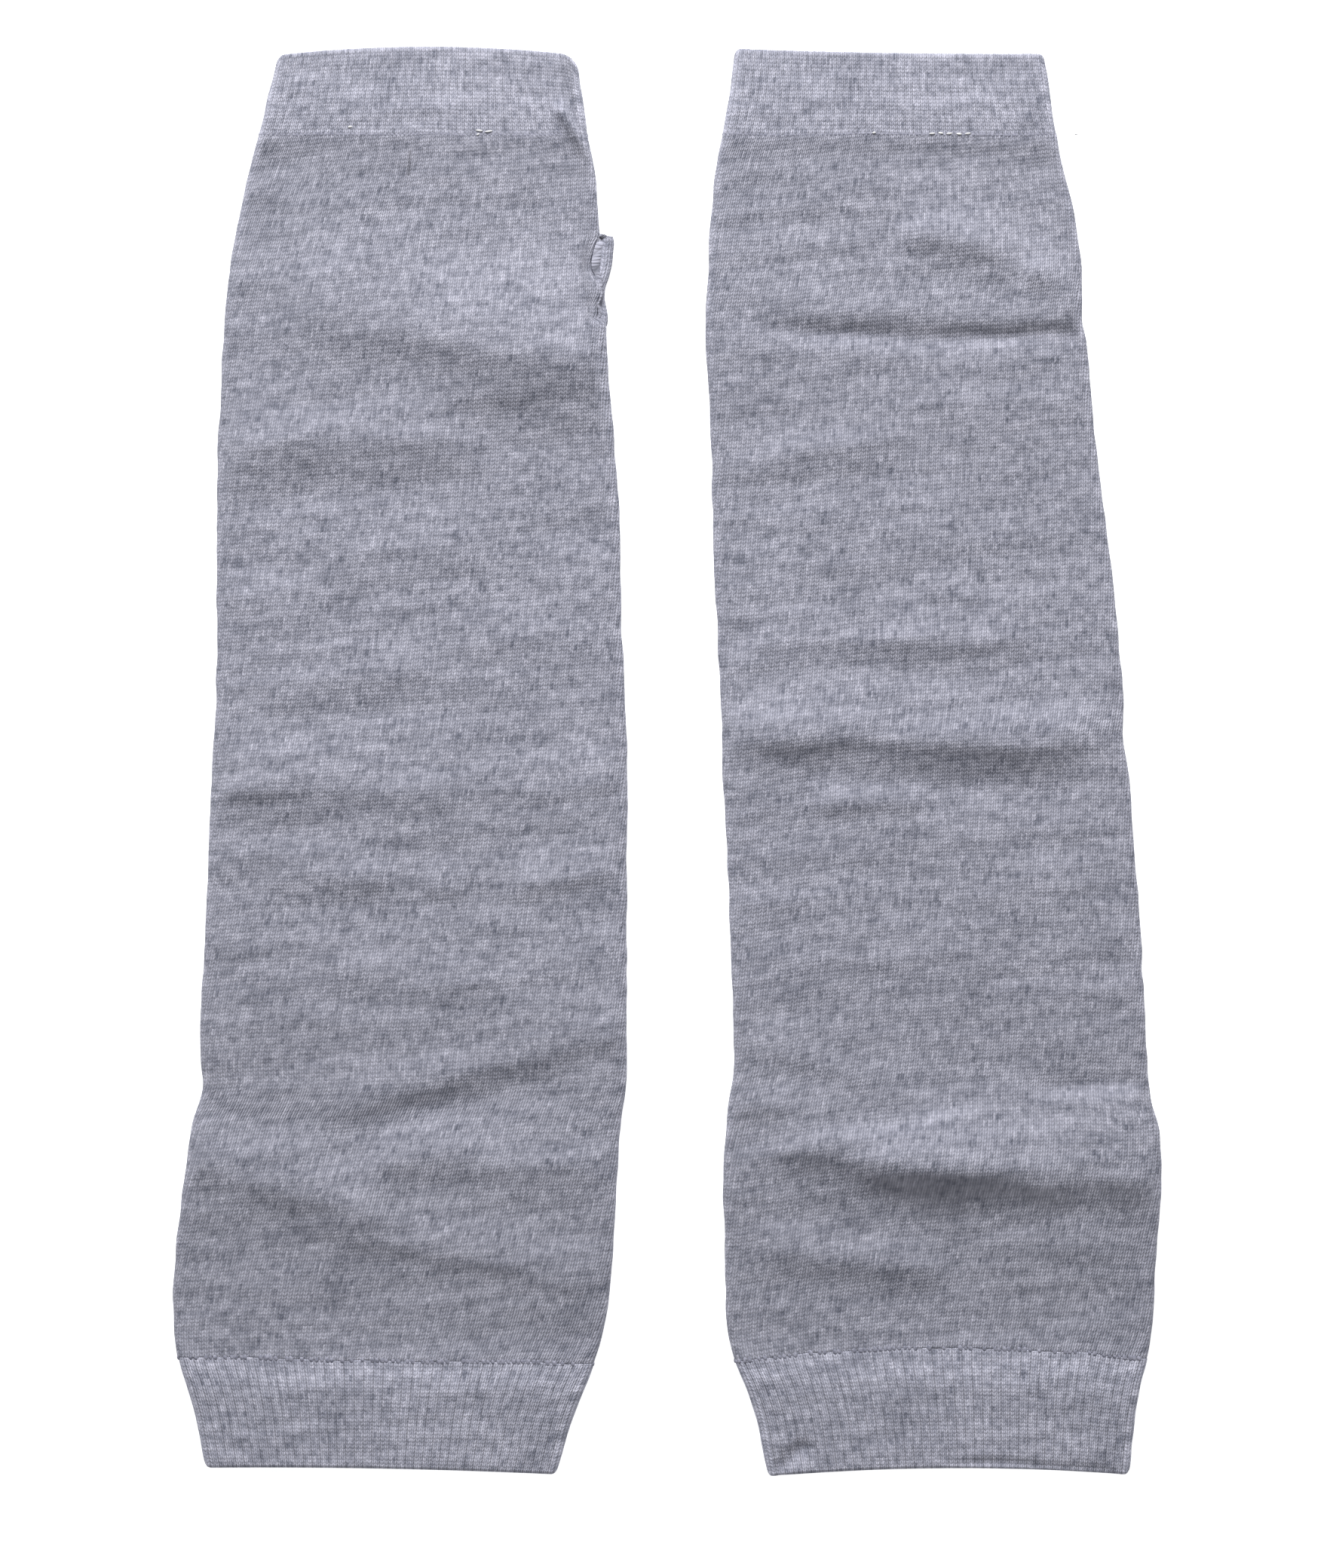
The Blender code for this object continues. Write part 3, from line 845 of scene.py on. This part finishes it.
def warmer(side, seed):
    """One warmer: body, thumb band, two welts, their linking rows and its undyed stitches."""
    hem_hand = end_line(f"{side}_hand_welt", 1)
    hem_arm = end_line(f"{side}_arm_welt", -1)
    join_hand = uneven(end_line(f"{side}_body", 1), seed + 60)
    join_arm = uneven(end_line(f"{side}_body", -1), seed + 70)

    heights = (JOIN_HEIGHT, BODY_HEIGHT, JOIN_HEIGHT)
    ends = level_line(join_arm, -JOIN_OVERLAP), level_line(join_hand, JOIN_OVERLAP)
    rounds, corners = (ARM_ROUND, HAND_ROUND), (0.1, 0.1, 0)
    slit = slit_line(side) if side == "left" else None
    body, length = tube(side, "body_cloth", heights, rounds, corners, *ends, CREASES[side], seed, slit)
    if slit:
        open_side(body, slit[0])
        band = side_band(side, *slit)
    else:
        low, high = (np.array(corner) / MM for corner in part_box(f"{side}_thumb_band"))
        (x, y, _), (width, slit_length, _) = (low + high) / 2, high - low
        open_under(body, x, y, slit_length)
        band = under_band(side, x, y, slit_length, width)
    band_knit = knit(f"{side} thumb band", BAND_LENGTH, 0.0, 0, BAND_TONES, wales=BAND_WALES)
    dress(band, band_knit, f"{side}_thumb_band")
    finish_modifier(body, "SOLIDIFY", thickness=JERSEY_PLY * MM, offset=-1.0, use_rim=True)
    mark = TIGHT_WALE if side == "left" else None
    jersey = knit(f"{side} body jersey", length, BODY_LEAN, HELIX, BODY_TONES_AND_SHADE, mark=mark)
    dress(body, jersey, f"{side}_body")

    hand, length = welt(side, "hand_welt", hem_hand, level_line(join_hand, -JOIN_OVERLAP), seed + 20)
    hand_knit = knit(f"{side} hand welt", length, 0.0, 0, HAND_TONES, rib=HAND_RIB)
    dress(hand, hand_knit, f"{side}_hand_welt")
    hand_row = join_row(side, "hand_join_stitches", join_hand, HAND_LINKING, seed)
    dress(hand_row, yarn(f"{side} hand linking", *LINKING_SHADES_AND_SHADOW), None)

    arm, length = welt(side, "arm_welt", hem_arm, level_line(join_arm, JOIN_OVERLAP), seed + 40)
    arm_knit = knit(f"{side} arm welt", length, 0.0, 0, ARM_TONES_AND_LIGHT, rib=ARM_RIB)
    dress(arm, arm_knit, f"{side}_arm_welt")
    arm_row = join_row(side, "arm_join_stitches", join_arm, ARM_LINKING, seed + 1)
    dress(arm_row, yarn(f"{side} arm linking", *LINKING_SHADES_AND_SHADOW), None)

    pale = pale_stitches(f"{side}_pale_stitches", PALE[side], seed)
    dress(pale, yarn(f"{side} undyed", *UNDYED_SHADES), None)


# ---------------------------------------------------------------- camera, floor and light

LENS = 100.0
SENSOR = 36.0
FRAME_HEIGHT = 373.2        # mm of the pair's plane that the camera sees along the arms

camera = bpy.data.cameras.new("Camera")
camera.lens, camera.sensor_width = LENS, SENSOR
camera.clip_start, camera.clip_end = 0.05, 20.0
eye = bpy.data.objects.new("Camera", camera)
eye.location = (-0.72 * MM, -5.2 * MM, (3.0 + FRAME_HEIGHT * LENS / SENSOR) * MM)
bpy.context.scene.collection.objects.link(eye)
bpy.context.scene.camera = eye

deselect()
bpy.ops.mesh.primitive_plane_add(size=14.0, location=(0.0, 0.0, -0.1 * MM))
floor = bpy.context.object
floor.name = "floor"
bpy.ops.object.transform_apply(location=True)
white = bpy.data.materials.new("White floor")
white.use_nodes = True
paint = white.node_tree.nodes["Principled BSDF"]
paint.inputs["Base Color"].default_value = (0.86, 0.86, 0.86, 1.0)
paint.inputs["Roughness"].default_value = 0.9
paint.inputs["Specular IOR Level"].default_value = 0.1
paint.inputs["Emission Color"].default_value = (1.0, 1.0, 1.0, 1.0)
paint.inputs["Emission Strength"].default_value = 0.75
floor.data.materials.append(white)

world = bpy.data.worlds.new("Room")
world.use_nodes = True
world.node_tree.nodes["Background"].inputs["Color"].default_value = (1.0, 1.0, 1.0, 1.0)
world.node_tree.nodes["Background"].inputs["Strength"].default_value = 0.36
bpy.context.scene.world = world

key = bpy.data.lights.new("Key", "AREA")
key.shape, key.size, key.energy = "SQUARE", 0.45, 30.0
lamp = bpy.data.objects.new("Key", key)
lamp.location = (-0.10, 1.15, 0.75)
lamp.rotation_mode = "QUATERNION"
lamp.rotation_quaternion = (-lamp.location).to_track_quat("-Z", "Y")
bpy.context.scene.collection.objects.link(lamp)

bpy.context.scene.view_settings.view_transform = "Standard"
bpy.context.scene.view_settings.look = "None"

# ---------------------------------------------------------------- the pair

for seed, side in enumerate(("left", "right")):
    warmer(side, 5.5 + 100 * seed)
